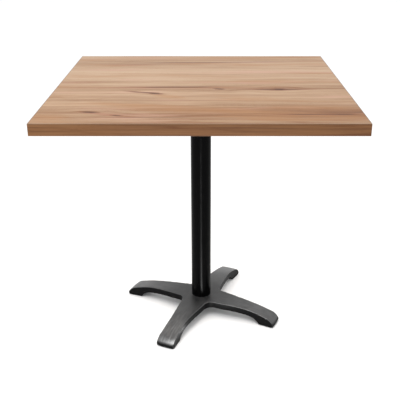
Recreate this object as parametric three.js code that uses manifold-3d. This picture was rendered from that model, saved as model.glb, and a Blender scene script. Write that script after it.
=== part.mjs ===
// Bistro table: a square oak-laminate top on a tubular column and a four-arm cast base.
// Millimetres, +Z up. The origin lies on the floor under the column's axis, +X runs along the
// top's grain, and -Y is the front. The base is turned about the column against the top's edges.
import * as THREE from "three";
import { mergeVertices } from "three/addons/utils/BufferGeometryUtils.js";
import Module from "manifold-3d";

const wasm = await Module();
wasm.setup();

// Driving dimensions of the whole table.
const TABLE_HEIGHT = 730;
const TOP_SIZE = 800;
const TOP_THICKNESS = 30;
const COLUMN_RADIUS = 30;
const COLUMN_WALL = 2;
const BASE_REACH = 256;
const BASE_TURN = THREE.MathUtils.degToRad(-24.5);

// Clearances: a glue line between flat sheets, a joint between a piece and its turned neighbour,
// and the play of a screw thread. Cutting solids run past the face they cut by the overcut.
const GLUE_LINE = 0.1;
const JOINT_GAP = 0.3;
const THREAD_PLAY = 0.15;
const OVERCUT = 1;

// Tabletop: laminated board with a band glued round its four edges.
const SHEET = 0.8;
const BAND = 2;
const ARRIS = 0.8;
const TOP_CORNER_RADIUS = 2;
const TOP_UNDERSIDE = TABLE_HEIGHT - TOP_THICKNESS;

// Spider plate that carries the top.
const SPIDER_TURN = Math.PI / 4;
const SPIDER_REACH = 172;
const SPIDER_THICKNESS = 7;
const SPIDER_ROOT_REACH = 48;
const SPIDER_ROOT_HALF_WIDTH = 24;
const SPIDER_GUSSET_REACH = 78;
const SPIDER_GUSSET_HALF_WIDTH = 20;
const SPIDER_TIP_HALF_WIDTH = 17;
const SPIDER_HUB_CHAMFER = 2;
const SPIDER_HUB_RADIUS = 38;
const SPIDER_HUB_DEPTH = 36;
const SPIDER_NUT_POCKET_RADIUS = 20;
const SPIDER_NUT_POCKET_DEPTH = 12;
const SPIDER_WEB = 4;
const COLUMN_TOP = TOP_UNDERSIDE - SPIDER_NUT_POCKET_DEPTH - SPIDER_WEB - JOINT_GAP;

// Countersunk wood screws, two in each arm of the spider.
const SCREW_PLACES = [102, 152];
const SCREW_LENGTH = 24;
const SCREW_SHANK_RADIUS = 2.4;
const SCREW_HEAD_RADIUS = 4.8;
const SCREW_HEAD_HEIGHT = 3.2;
const SCREW_HEAD_RIM = 0.4;
const SCREW_POINT = 5;
const SCREW_SINK = 0.5;
const SCREW_SLOT_WIDTH = 1.2;
const SCREW_SLOT_LENGTH = 5.4;
const SCREW_SLOT_DEPTH = 1.8;
const SCREW_STOP_TURN = Math.PI / 7;

// Tie rod that clamps spider, column and base together, with a washer and nut at each end.
const ROD_RADIUS = 5;
const ROD_HOLE_RADIUS = 5.6;
const ROD_CHAMFER = 1;
const ROD_BOTTOM = 24;
const ROD_TOP = TOP_UNDERSIDE - 1;
const WASHER_RADIUS = 15;
const WASHER_THICKNESS = 2;
const NUT_HEIGHT = 8;
const NUT_ACROSS_FLATS = 17;

// Cast base: one hub and four arms, hollow underneath.
const HUB_TOP = 52;
const FOOT_UNDERSIDE = 1.5;
const FOOT_INNER_REACH = 207;
const FOOT_CORNER_RADIUS = 12;
const FOOT_DRAFT = 2;
const BASE_SKIN = 8;
const BASE_RIM = 7;
const POCKET_REACH = 185;
const POCKET_CORNER_RADIUS = 6;
const CLAMP_BOSS_RADIUS = 26;
const CLAMP_BOSS_UNDERSIDE = 38;
const SPIGOT_RADIUS = COLUMN_RADIUS - COLUMN_WALL - JOINT_GAP;
const SPIGOT_WALL = 6;
const SPIGOT_HEIGHT = 12;

// One arm of the base. Half-widths run from its root to its tip, as [distance from the column's
// axis, half-width]: the arm tapers, and spreads a little at the foot. Its back is [distance, drop
// below the hub's top]: it is flat at the hub and rolls over at the foot. The arch under it is
// [distance, height above the foot's underside].
const ARM_HALF_WIDTHS = [
  [66, 38.5],
  [95, 34.5],
  [125, 30.5],
  [165, 26.5],
  [210, 26],
  [BASE_REACH - 6, 28.5],
];
const ARM_BACK = [
  [45, 0],
  [100, 1.8],
  [150, 5],
  [POCKET_REACH, 10],
  [215, 17.5],
  [BASE_REACH - 20, 24],
  [BASE_REACH - 7, 33.5],
  [BASE_REACH, 43],
];
const ARM_ARCH = [
  [FOOT_INNER_REACH, 0],
  [FOOT_INNER_REACH - 8, 10.5],
  [FOOT_INNER_REACH - 27, 20],
  [130, 26.5],
  [40, 30.5],
];

// Levelling glides: a threaded stud whose head turns in a plastic pad under each foot.
const GLIDE_REACH = 231;
const PAD_RADIUS = 18.5;
const PAD_HEIGHT = 7.9;
const PAD_EDGE = 2;
const PAD_EDGE_INSET = 0.6;
const PAD_SEAT = 3;
const PAD_KEY_HOLE_RADIUS = 4.5;
const PAD_SOCKET_RADIUS = 7.5;
const RECESS_RADIUS = 19.3;
const RECESS_ROOF = PAD_HEIGHT + JOINT_GAP;
const STUD_RADIUS = 4;
const STUD_TOP = 24;
const STUD_HOLE_TOP = 25;
const STUD_HEAD_RADIUS = 7.1;
const STUD_HEAD_HEIGHT = 4;
const STUD_HEAD_CHAMFER = 0.5;
const STUD_POINT_CHAMFER = 1;
const STUD_KEY_ACROSS_FLATS = 5;
const STUD_KEY_DEPTH = 2.5;

const ARMS = ["right", "back", "left", "front"];

// Facets: round a small turned piece, a wide one, the column and the base casting; along each
// span of an arm's side; round a tip's corner; and round the crotch between two arms.
const ROUND_FACETS = 24;
const WIDE_FACETS = 36;
const COLUMN_FACETS = 64;
const BASE_FACETS = 96;
const SCREW_FACETS = 12;
const SPAN_STEPS = 4;
const CORNER_STEPS = 5;
const CROTCH_STEPS = 8;
const BACK_STEPS = 20;
const ARCH_STEPS = 12;

const oakLaminate = new THREE.MeshStandardMaterial({ color: 0xc69a6c, roughness: 0.5, metalness: 0 });
const oakEdge = new THREE.MeshStandardMaterial({ color: 0xa5784f, roughness: 0.55, metalness: 0 });
const chipboard = new THREE.MeshStandardMaterial({ color: 0xb08a5e, roughness: 0.9, metalness: 0 });
const backingSheet = new THREE.MeshStandardMaterial({ color: 0xb9a68c, roughness: 0.7, metalness: 0 });
const columnCoat = new THREE.MeshStandardMaterial({ color: 0x0d0d0e, roughness: 0.35, metalness: 0 });
const castCoat = new THREE.MeshStandardMaterial({ color: 0x18191a, roughness: 0.5, metalness: 0 });
const zincSteel = new THREE.MeshStandardMaterial({ color: 0x9a9c9e, roughness: 0.35, metalness: 1 });
const blackNylon = new THREE.MeshStandardMaterial({ color: 0x0a0a0a, roughness: 0.6, metalness: 0 });

// ---- Geometry helpers --------------------------------------------------------------------------

// A closed mesh as a solid that can be joined and cut.
function toSolid(geometry) {
  const bare = geometry.clone();
  bare.deleteAttribute("normal");
  bare.deleteAttribute("uv");
  const merged = mergeVertices(bare, 1e-4);
  const corners = merged.index.array;
  const triangles = [];
  for (let i = 0; i < corners.length; i += 3) {
    const [a, b, c] = [corners[i], corners[i + 1], corners[i + 2]];
    if (a !== b && b !== c && c !== a) triangles.push(a, b, c);
  }
  const mesh = new wasm.Mesh({
    numProp: 3,
    vertProperties: merged.attributes.position.array,
    triVerts: new Uint32Array(triangles),
  });
  return new wasm.Manifold(mesh);
}

// The geometry of a solid, back in three.js form.
function toGeometry(solid) {
  const mesh = solid.getMesh();
  const geometry = new THREE.BufferGeometry();
  geometry.setAttribute("position", new THREE.BufferAttribute(new Float32Array(mesh.vertProperties), 3));
  geometry.setIndex(new THREE.BufferAttribute(new Uint32Array(mesh.triVerts), 1));
  geometry.computeVertexNormals();
  return geometry;
}

// A closed profile of [radius, z] points, listed anticlockwise, turned about the Z axis.
function turned(profile, segments = ROUND_FACETS) {
  const points = profile.map(([radius, z]) => new THREE.Vector2(radius, z));
  return new THREE.LatheGeometry(points, segments).rotateX(Math.PI / 2);
}

function ringProfile(inner, outer, bottom, top) {
  return [[inner, bottom], [outer, bottom], [outer, top], [inner, top], [inner, bottom]];
}

function rod(radius, bottom, top, segments = ROUND_FACETS) {
  return turned([[0, bottom], [radius, bottom], [radius, top], [0, top]], segments);
}

// A box between two corners.
function block([x0, y0, z0], [x1, y1, z1]) {
  const geometry = new THREE.BoxGeometry(x1 - x0, y1 - y0, z1 - z0);
  return geometry.translate((x0 + x1) / 2, (y0 + y1) / 2, (z0 + z1) / 2);
}

function prism(shape, bottom, top, curveSegments = ROUND_FACETS) {
  const settings = { depth: top - bottom, bevelEnabled: false, curveSegments };
  return new THREE.ExtrudeGeometry(shape, settings).translate(0, 0, bottom);
}

function hexagon(acrossFlats) {
  const radius = acrossFlats / Math.sqrt(3);
  const corners = [];
  for (let i = 0; i < 6; i += 1) {
    const angle = (i * Math.PI) / 3;
    corners.push(new THREE.Vector2(radius * Math.cos(angle), radius * Math.sin(angle)));
  }
  return new THREE.Shape(corners);
}

// The plan outline of a cross with four equal arms along X and Y. halfWidths lists one arm's
// [distance from the centre, half-width] points from its root to its tip.
function crossOutline(halfWidths, tipRadius) {
  const [rootReach, rootHalfWidth] = halfWidths[0];
  const [tipReach, tipHalfWidth] = halfWidths[halfWidths.length - 1];
  const side = new THREE.SplineCurve(halfWidths.map(([reach, half]) => new THREE.Vector2(reach, half)));
  const sidePoints = side.getPoints(SPAN_STEPS * (halfWidths.length - 1));
  const nose = new THREE.Path();
  nose.absarc(tipReach, tipHalfWidth - tipRadius, tipRadius, Math.PI / 2, 0, true);
  const rightSide = sidePoints.map((p) => new THREE.Vector2(p.x, -p.y));
  const noseLeft = nose.getPoints(CORNER_STEPS).slice(1);
  const noseRight = noseLeft.map((p) => new THREE.Vector2(p.x, -p.y));
  const crotch = new THREE.QuadraticBezierCurve(
    new THREE.Vector2(rootReach, rootHalfWidth),
    new THREE.Vector2(rootHalfWidth, rootHalfWidth),
    new THREE.Vector2(rootHalfWidth, rootReach),
  );
  const crotchPoints = crotch.getPoints(CROTCH_STEPS).slice(1, -1);
  const arm = [...rightSide, ...noseRight, ...noseLeft.reverse(), ...sidePoints.reverse(), ...crotchPoints];
  const centre = new THREE.Vector2();
  const outline = ARMS.flatMap((_, i) => arm.map((p) => p.clone().rotateAround(centre, (i * Math.PI) / 2)));
  return new THREE.Shape(outline);
}

function piece(name, geometry, material) {
  const mesh = new THREE.Mesh(geometry, material);
  mesh.name = name;
  return mesh;
}

// ---- Tabletop ----------------------------------------------------------------------------------

// The finished outside of the top, with softened corners and arrises.
function topEnvelope() {
  const half = TOP_SIZE / 2 - ARRIS;
  const radius = TOP_CORNER_RADIUS - ARRIS;
  const outline = new THREE.Shape();
  outline.absarc(half - radius, half - radius, radius, 0, Math.PI / 2);
  outline.absarc(radius - half, half - radius, radius, Math.PI / 2, Math.PI);
  outline.absarc(radius - half, radius - half, radius, Math.PI, 1.5 * Math.PI);
  outline.absarc(half - radius, radius - half, radius, 1.5 * Math.PI, 2 * Math.PI);
  const settings = {
    depth: TOP_THICKNESS - 2 * ARRIS,
    bevelThickness: ARRIS,
    bevelSize: ARRIS,
    bevelSegments: 2,
    curveSegments: 3,
  };
  return new THREE.ExtrudeGeometry(outline, settings).translate(0, 0, TOP_UNDERSIDE + ARRIS);
}

// Screw places, as [x, y] in the spider's own turned frame.
function screwPlaces() {
  const places = [];
  for (let arm = 0; arm < ARMS.length; arm += 1) {
    const angle = SPIDER_TURN + (arm * Math.PI) / 2;
    for (const reach of SCREW_PLACES) {
      places.push([reach * Math.cos(angle), reach * Math.sin(angle)]);
    }
  }
  return places;
}

function drillScrewHoles(solid, radius, bottom, top) {
  let drilled = solid;
  for (const [x, y] of screwPlaces()) {
    drilled = drilled.subtract(toSolid(rod(radius, bottom, top, SCREW_FACETS).translate(x, y, 0)));
  }
  return drilled;
}

function tabletop() {
  const group = new THREE.Group();
  const half = TOP_SIZE / 2;
  const inner = half - BAND - GLUE_LINE;
  const over = half + OVERCUT;
  const low = TOP_UNDERSIDE - OVERCUT;
  const high = TABLE_HEIGHT + OVERCUT;
  const backingTop = TOP_UNDERSIDE + SHEET;
  const laminateBottom = TABLE_HEIGHT - SHEET;
  const pilotRadius = SCREW_SHANK_RADIUS + JOINT_GAP;
  const pilotTop = TOP_UNDERSIDE - SPIDER_THICKNESS + SCREW_SINK + SCREW_LENGTH + JOINT_GAP;

  const boardBottom = backingTop + GLUE_LINE;
  const boardTop = laminateBottom - GLUE_LINE;
  const board = toSolid(block([-inner, -inner, boardBottom], [inner, inner, boardTop]));
  const core = drillScrewHoles(board, pilotRadius, low, pilotTop);
  const sheet = toSolid(block([-inner, -inner, TOP_UNDERSIDE], [inner, inner, backingTop]));
  const backing = drillScrewHoles(sheet, pilotRadius, low, high);
  const laminate = block([-inner, -inner, laminateBottom], [inner, inner, TABLE_HEIGHT]);
  group.add(piece("top_core", toGeometry(core), chipboard));
  group.add(piece("top_backing", toGeometry(backing), backingSheet));
  group.add(piece("top_laminate", laminate, oakLaminate));

  const envelope = toSolid(topEnvelope());
  const bands = {
    edge_band_front: block([-over, -over, low], [over, BAND - half, high]),
    edge_band_back: block([-over, half - BAND, low], [over, over, high]),
    edge_band_left: block([-over, -inner, low], [BAND - half, inner, high]),
    edge_band_right: block([half - BAND, -inner, low], [over, inner, high]),
  };
  for (const [name, region] of Object.entries(bands)) {
    group.add(piece(name, toGeometry(envelope.intersect(toSolid(region))), oakEdge));
  }
  return group;
}

// ---- Spider plate and its screws ---------------------------------------------------------------

function spiderPlate() {
  const armUnderside = TOP_UNDERSIDE - SPIDER_THICKNESS;
  const hubUnderside = TOP_UNDERSIDE - SPIDER_HUB_DEPTH;
  const socketRoof = COLUMN_TOP + JOINT_GAP;
  const web = socketRoof + SPIDER_WEB;
  const top = TOP_UNDERSIDE - GLUE_LINE;
  const arms = toSolid(turned([
    [0, socketRoof],
    [SPIDER_HUB_RADIUS, socketRoof],
    [SPIDER_GUSSET_REACH, armUnderside],
    [SPIDER_REACH + OVERCUT, armUnderside],
    [SPIDER_REACH + OVERCUT, top],
    [0, top],
  ], WIDE_FACETS));
  const plan = crossOutline([
    [SPIDER_ROOT_REACH, SPIDER_ROOT_HALF_WIDTH],
    [SPIDER_GUSSET_REACH, SPIDER_GUSSET_HALF_WIDTH],
    [SPIDER_REACH - SPIDER_TIP_HALF_WIDTH, SPIDER_TIP_HALF_WIDTH],
  ], SPIDER_TIP_HALF_WIDTH - 1);
  const cross = toSolid(prism(plan, hubUnderside, top + OVERCUT));
  const hub = toSolid(turned([
    [0, hubUnderside],
    [SPIDER_HUB_RADIUS - SPIDER_HUB_CHAMFER, hubUnderside],
    [SPIDER_HUB_RADIUS, hubUnderside + SPIDER_HUB_CHAMFER],
    [SPIDER_HUB_RADIUS, top],
    [0, top],
  ], WIDE_FACETS));
  const socketRadius = COLUMN_RADIUS + JOINT_GAP;
  const socket = toSolid(rod(socketRadius, hubUnderside - OVERCUT, socketRoof, WIDE_FACETS));
  const nutPocket = toSolid(rod(SPIDER_NUT_POCKET_RADIUS, web, top + OVERCUT));
  const rodHole = toSolid(rod(ROD_HOLE_RADIUS, hubUnderside - OVERCUT, top + OVERCUT));
  let plate = arms.intersect(cross).add(hub).subtract(socket).subtract(nutPocket).subtract(rodHole);

  const headRadius = SCREW_HEAD_RADIUS + JOINT_GAP;
  const shankRadius = SCREW_SHANK_RADIUS + JOINT_GAP;
  const seat = armUnderside + SCREW_SINK;
  for (let arm = 0; arm < ARMS.length; arm += 1) {
    for (const reach of SCREW_PLACES) {
      const countersink = turned([
        [0, armUnderside - OVERCUT],
        [headRadius, armUnderside - OVERCUT],
        [headRadius, seat + JOINT_GAP],
        [shankRadius, seat + SCREW_HEAD_HEIGHT + JOINT_GAP],
        [shankRadius, top + OVERCUT],
        [0, top + OVERCUT],
      ], SCREW_FACETS);
      countersink.translate(reach, 0, 0).rotateZ((arm * Math.PI) / 2);
      plate = plate.subtract(toSolid(countersink));
    }
  }
  const mesh = piece("spider_plate", toGeometry(plate), castCoat);
  mesh.rotation.z = SPIDER_TURN;
  return mesh;
}

// A countersunk screw with a cross slot, standing on its head at z = 0.
function screwGeometry() {
  const body = toSolid(turned([
    [0, 0],
    [SCREW_HEAD_RADIUS, 0],
    [SCREW_HEAD_RADIUS, SCREW_HEAD_RIM],
    [SCREW_SHANK_RADIUS, SCREW_HEAD_HEIGHT],
    [SCREW_SHANK_RADIUS, SCREW_LENGTH - SCREW_POINT],
    [0, SCREW_LENGTH],
  ], SCREW_FACETS));
  const slot = block(
    [-SCREW_SLOT_LENGTH / 2, -SCREW_SLOT_WIDTH / 2, -OVERCUT],
    [SCREW_SLOT_LENGTH / 2, SCREW_SLOT_WIDTH / 2, SCREW_SLOT_DEPTH],
  );
  const crossSlot = slot.clone().rotateZ(Math.PI / 2);
  return toGeometry(body.subtract(toSolid(slot)).subtract(toSolid(crossSlot)));
}

function screws() {
  const group = new THREE.Group();
  const geometry = screwGeometry();
  screwPlaces().forEach(([x, y], i) => {
    const screw = piece(`top_screw_${i + 1}`, geometry, zincSteel);
    screw.position.set(x, y, TOP_UNDERSIDE - SPIDER_THICKNESS + SCREW_SINK);
    screw.rotation.z = i * SCREW_STOP_TURN;
    group.add(screw);
  });
  return group;
}

// ---- Column and tie rod ------------------------------------------------------------------------

function columnTube() {
  const inner = COLUMN_RADIUS - COLUMN_WALL;
  const profile = ringProfile(inner, COLUMN_RADIUS, HUB_TOP + JOINT_GAP, COLUMN_TOP);
  return piece("column_tube", turned(profile, COLUMN_FACETS), columnCoat);
}

function tieRod() {
  const profile = [
    [0, ROD_BOTTOM],
    [ROD_RADIUS - ROD_CHAMFER, ROD_BOTTOM],
    [ROD_RADIUS, ROD_BOTTOM + ROD_CHAMFER],
    [ROD_RADIUS, ROD_TOP - ROD_CHAMFER],
    [ROD_RADIUS - ROD_CHAMFER, ROD_TOP],
    [0, ROD_TOP],
  ];
  return piece("tie_rod", turned(profile), zincSteel);
}

function washer(name, bottom) {
  const profile = ringProfile(ROD_HOLE_RADIUS, WASHER_RADIUS, bottom, bottom + WASHER_THICKNESS);
  return piece(name, turned(profile), zincSteel);
}

// A hexagon nut whose corners are turned off at both ends.
function nut(name, bottom) {
  const outline = hexagon(NUT_ACROSS_FLATS);
  const bore = new THREE.Path();
  bore.absarc(0, 0, ROD_RADIUS + THREAD_PLAY, 0, 2 * Math.PI, true);
  outline.holes.push(bore);
  const flat = NUT_ACROSS_FLATS / 2;
  const corner = NUT_ACROSS_FLATS / Math.sqrt(3);
  const rim = (corner - flat) / 2;
  const envelope = toSolid(turned([
    [0, 0],
    [flat, 0],
    [corner, rim],
    [corner, NUT_HEIGHT - rim],
    [flat, NUT_HEIGHT],
    [0, NUT_HEIGHT],
  ]));
  const body = toSolid(prism(outline, 0, NUT_HEIGHT, ROUND_FACETS / 2));
  const mesh = piece(name, toGeometry(body.intersect(envelope)), zincSteel);
  mesh.position.z = bottom;
  return mesh;
}

function clampFasteners() {
  const group = new THREE.Group();
  const web = COLUMN_TOP + JOINT_GAP + SPIDER_WEB;
  const topWasher = web + GLUE_LINE;
  const baseWasher = CLAMP_BOSS_UNDERSIDE - JOINT_GAP - WASHER_THICKNESS;
  group.add(washer("top_washer", topWasher));
  group.add(nut("top_nut", topWasher + WASHER_THICKNESS + GLUE_LINE));
  group.add(washer("base_washer", baseWasher));
  group.add(nut("base_nut", baseWasher - GLUE_LINE - NUT_HEIGHT));
  return group;
}

// ---- Cast base ---------------------------------------------------------------------------------

// The section through one arm and the hub, from the axis out along the back and home under the
// arch, listed from the bottom up.
function baseSection() {
  const backPoints = ARM_BACK.map(([reach, drop]) => new THREE.Vector2(reach, HUB_TOP - drop));
  const archPoints = ARM_ARCH.map(([reach, rise]) => new THREE.Vector2(reach, FOOT_UNDERSIDE + rise));
  const hubUnderside = archPoints[archPoints.length - 1].y;
  const profile = [
    new THREE.Vector2(0, HUB_TOP),
    ...new THREE.SplineCurve(backPoints).getPoints(BACK_STEPS),
    new THREE.Vector2(BASE_REACH - FOOT_DRAFT, FOOT_UNDERSIDE),
    ...new THREE.SplineCurve(archPoints).getPoints(ARCH_STEPS),
    new THREE.Vector2(0, hubUnderside),
  ];
  return profile.reverse().map((p) => [p.x, p.y]);
}

// The hollow under the arms, which leaves a skin under their backs, a rim along their sides and a
// boss round the tie rod.
function basePocket() {
  const rimHalfWidths = ARM_HALF_WIDTHS.map(([reach, half]) => [reach, half - BASE_RIM]);
  const plan = toSolid(prism(crossOutline(rimHalfWidths, POCKET_CORNER_RADIUS), -OVERCUT, HUB_TOP));
  const roofTop = HUB_TOP - BASE_SKIN;
  const roof = ARM_BACK.filter(([reach]) => reach <= POCKET_REACH);
  const section = turned([
    [0, -OVERCUT],
    [POCKET_REACH, -OVERCUT],
    ...roof.reverse().map(([reach, drop]) => [reach, roofTop - drop]),
    [CLAMP_BOSS_RADIUS, roofTop],
    [CLAMP_BOSS_RADIUS, CLAMP_BOSS_UNDERSIDE],
    [0, CLAMP_BOSS_UNDERSIDE],
  ], WIDE_FACETS);
  return plan.intersect(toSolid(section));
}

function baseCasting() {
  const outline = crossOutline(ARM_HALF_WIDTHS, FOOT_CORNER_RADIUS);
  const plan = toSolid(prism(outline, 0, HUB_TOP + OVERCUT));
  const outside = toSolid(turned(baseSection(), BASE_FACETS)).intersect(plan);
  const spigotBore = SPIGOT_RADIUS - SPIGOT_WALL;
  const spigotTop = HUB_TOP + SPIGOT_HEIGHT;
  const spigotProfile = ringProfile(spigotBore, SPIGOT_RADIUS, HUB_TOP - OVERCUT, spigotTop);
  const spigot = toSolid(turned(spigotProfile, WIDE_FACETS));
  const rodHole = toSolid(rod(ROD_HOLE_RADIUS, -OVERCUT, HUB_TOP + OVERCUT));
  let casting = outside.subtract(basePocket()).add(spigot).subtract(rodHole);

  for (let arm = 0; arm < ARMS.length; arm += 1) {
    const recess = turned([
      [0, -OVERCUT],
      [RECESS_RADIUS, -OVERCUT],
      [RECESS_RADIUS, RECESS_ROOF],
      [STUD_RADIUS + THREAD_PLAY, RECESS_ROOF],
      [STUD_RADIUS + THREAD_PLAY, STUD_HOLE_TOP],
      [0, STUD_HOLE_TOP],
    ]);
    recess.translate(GLIDE_REACH, 0, 0).rotateZ((arm * Math.PI) / 2);
    casting = casting.subtract(toSolid(recess));
  }
  return piece("base_casting", toGeometry(casting), castCoat);
}

// ---- Levelling glides --------------------------------------------------------------------------

function padGeometry() {
  return turned([
    [PAD_KEY_HOLE_RADIUS, 0],
    [PAD_RADIUS - PAD_EDGE, 0],
    [PAD_RADIUS - PAD_EDGE_INSET, PAD_EDGE_INSET],
    [PAD_RADIUS, PAD_EDGE],
    [PAD_RADIUS, PAD_HEIGHT],
    [PAD_SOCKET_RADIUS, PAD_HEIGHT],
    [PAD_SOCKET_RADIUS, PAD_SEAT],
    [PAD_KEY_HOLE_RADIUS, PAD_SEAT],
    [PAD_KEY_HOLE_RADIUS, 0],
  ]);
}

function studGeometry() {
  const headBottom = PAD_SEAT + JOINT_GAP;
  const headTop = headBottom + STUD_HEAD_HEIGHT;
  const body = toSolid(turned([
    [0, headBottom],
    [STUD_HEAD_RADIUS - STUD_HEAD_CHAMFER, headBottom],
    [STUD_HEAD_RADIUS, headBottom + STUD_HEAD_CHAMFER],
    [STUD_HEAD_RADIUS, headTop],
    [STUD_RADIUS, headTop],
    [STUD_RADIUS, STUD_TOP - STUD_POINT_CHAMFER],
    [STUD_RADIUS - STUD_POINT_CHAMFER, STUD_TOP],
    [0, STUD_TOP],
  ]));
  const keyTop = headBottom + STUD_KEY_DEPTH;
  const keyway = prism(hexagon(STUD_KEY_ACROSS_FLATS), headBottom - OVERCUT, keyTop);
  return toGeometry(body.subtract(toSolid(keyway)));
}

function base() {
  const group = new THREE.Group();
  group.rotation.z = BASE_TURN;
  group.add(baseCasting());
  const pad = padGeometry();
  const stud = studGeometry();
  ARMS.forEach((arm, i) => {
    const glide = new THREE.Group();
    const angle = (i * Math.PI) / 2;
    glide.position.set(GLIDE_REACH * Math.cos(angle), GLIDE_REACH * Math.sin(angle), 0);
    glide.add(piece(`glide_pad_${arm}`, pad, blackNylon));
    glide.add(piece(`glide_stud_${arm}`, stud, zincSteel));
    group.add(glide);
  });
  return group;
}

const table = new THREE.Group();
table.name = "bistro_table";
table.add(tabletop(), spiderPlate(), screws(), columnTube(), tieRod(), clampFasteners(), base());

export default table;
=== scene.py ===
"""Looks for the bistro table: finer pieces, materials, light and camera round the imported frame.

Metres, +Z up. The origin lies on the floor under the column, +X runs along the top's grain and
-Y is the front. Every piece is built where the frame's own boxes say it is.
"""

import math
from collections import namedtuple

import bmesh
import bpy
from mathutils import Matrix, Vector
from mathutils.kdtree import KDTree


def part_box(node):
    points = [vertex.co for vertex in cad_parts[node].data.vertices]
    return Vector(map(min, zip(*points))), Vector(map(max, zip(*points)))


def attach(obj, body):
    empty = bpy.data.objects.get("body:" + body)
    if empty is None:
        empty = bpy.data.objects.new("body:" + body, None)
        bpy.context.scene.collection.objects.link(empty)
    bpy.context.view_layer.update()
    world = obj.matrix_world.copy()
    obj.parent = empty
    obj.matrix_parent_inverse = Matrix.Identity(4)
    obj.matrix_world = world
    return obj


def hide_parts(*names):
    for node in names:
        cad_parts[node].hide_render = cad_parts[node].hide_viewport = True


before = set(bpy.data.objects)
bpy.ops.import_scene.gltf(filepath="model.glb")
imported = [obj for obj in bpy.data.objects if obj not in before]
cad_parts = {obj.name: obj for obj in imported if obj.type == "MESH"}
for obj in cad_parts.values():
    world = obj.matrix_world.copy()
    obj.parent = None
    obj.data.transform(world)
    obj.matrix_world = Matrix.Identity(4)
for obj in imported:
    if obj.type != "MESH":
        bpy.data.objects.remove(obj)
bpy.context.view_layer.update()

MM = 0.001
FULL_TURN = 2 * math.pi
ON_AXIS = Vector((0.0, 0.0, 0.0))
SHARP = math.radians(32)
ARMS = ("right", "back", "left", "front")
TOP_SCREWS = [f"top_screw_{i + 1}" for i in range(8)]


# ---- Node graphs -----------------------------------------------------------------------------


class Graph:
    """A material's node tree, built by short calls. A source is a socket or a plain number."""

    def __init__(self, name):
        self.material = bpy.data.materials.new(name)
        self.material.use_nodes = True
        self.tree = self.material.node_tree
        self.tree.nodes.clear()
        self.shader = self.add("ShaderNodeBsdfPrincipled")
        output = self.add("ShaderNodeOutputMaterial")
        self.tree.links.new(self.shader.outputs["BSDF"], output.inputs["Surface"])
        self.place = self.add("ShaderNodeTexCoord").outputs["Object"]

    def add(self, kind, **settings):
        node = self.tree.nodes.new(kind)
        for name, value in settings.items():
            setattr(node, name, value)
        return node

    def feed(self, socket, source):
        if isinstance(source, bpy.types.NodeSocket):
            self.tree.links.new(source, socket)
        else:
            socket.default_value = source

    def math(self, operation, *sources):
        node = self.add("ShaderNodeMath", operation=operation)
        for socket, source in zip(node.inputs, sources):
            self.feed(socket, source)
        return node.outputs[0]

    def plus(self, a, b):
        return self.math("ADD", a, b)

    def minus(self, a, b):
        return self.math("SUBTRACT", a, b)

    def times(self, a, b):
        return self.math("MULTIPLY", a, b)

    def feed_new(self, kind, sources, **settings):
        node = self.add(kind, **settings)
        for name, source in sources.items():
            self.feed(node.inputs[name], source)
        return node

    def axes(self, place):
        """The three coordinates of a place."""
        return self.feed_new("ShaderNodeSeparateXYZ", {"Vector": place}).outputs

    def join(self, x, y, z):
        return self.feed_new("ShaderNodeCombineXYZ", {"X": x, "Y": y, "Z": z}).outputs[0]

    def stretched(self, x, x_scale, y, y_scale, z):
        """A place for a noise that is drawn out: two coordinates scaled, the third as it is."""
        return self.join(self.times(x, x_scale), self.times(y, y_scale), z)

    def noise(self, place, scale=1.0, detail=2.0, roughness=0.5, distortion=0.0):
        sources = {
            "Vector": place,
            "Scale": scale,
            "Detail": detail,
            "Roughness": roughness,
            "Distortion": distortion,
        }
        return self.feed_new("ShaderNodeTexNoise", sources).outputs[0]

    def cells(self, place, scale, feature="F1", output="Distance"):
        sources = {"Vector": place, "Scale": scale}
        return self.feed_new("ShaderNodeTexVoronoi", sources, feature=feature).outputs[output]

    def span(self, source, low, high, to_low=0.0, to_high=1.0):
        """The source, eased from one range into another and held at its ends."""
        sources = {
            "Value": source,
            "From Min": low,
            "From Max": high,
            "To Min": to_low,
            "To Max": to_high,
        }
        node = self.feed_new("ShaderNodeMapRange", sources, interpolation_type="SMOOTHSTEP")
        return node.outputs[0]

    def ramp(self, source, *stops):
        node = self.feed_new("ShaderNodeValToRGB", {"Fac": source})
        elements = node.color_ramp.elements
        while len(elements) < len(stops):
            elements.new(1.0)
        for element, (position, colour) in zip(elements, stops):
            element.position = position
            element.color = (*colour, 1.0)
        return node.outputs[0]

    def mix(self, factor, a, b, blend="MIX"):
        node = self.add("ShaderNodeMix", data_type="RGBA", blend_type=blend)
        self.feed(node.inputs["Factor"], factor)
        for socket, source in ((node.inputs[6], a), (node.inputs[7], b)):
            self.feed(socket, (*source, 1.0) if isinstance(source, tuple) else source)
        return node.outputs[2]

    def relief(self, *layers):
        """Bumps laid over each other. A layer is (height source, strength, depth in metres)."""
        normal = None
        for height, strength, depth in layers:
            sources = {"Height": height, "Strength": strength, "Distance": depth}
            node = self.feed_new("ShaderNodeBump", sources)
            if normal:
                self.tree.links.new(normal, node.inputs["Normal"])
            normal = node.outputs[0]
        self.tree.links.new(normal, self.shader.inputs["Normal"])

    def finish(self, colour, roughness, **fixed):
        """The material, with its colour and roughness fed and its fixed numbers on the sockets."""
        self.feed(self.shader.inputs["Base Color"], colour)
        self.feed(self.shader.inputs["Roughness"], roughness)
        for name, value in fixed.items():
            self.shader.inputs[name.replace("_", " ")].default_value = value
        return self.material


# ---- Oak print -------------------------------------------------------------------------------

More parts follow.
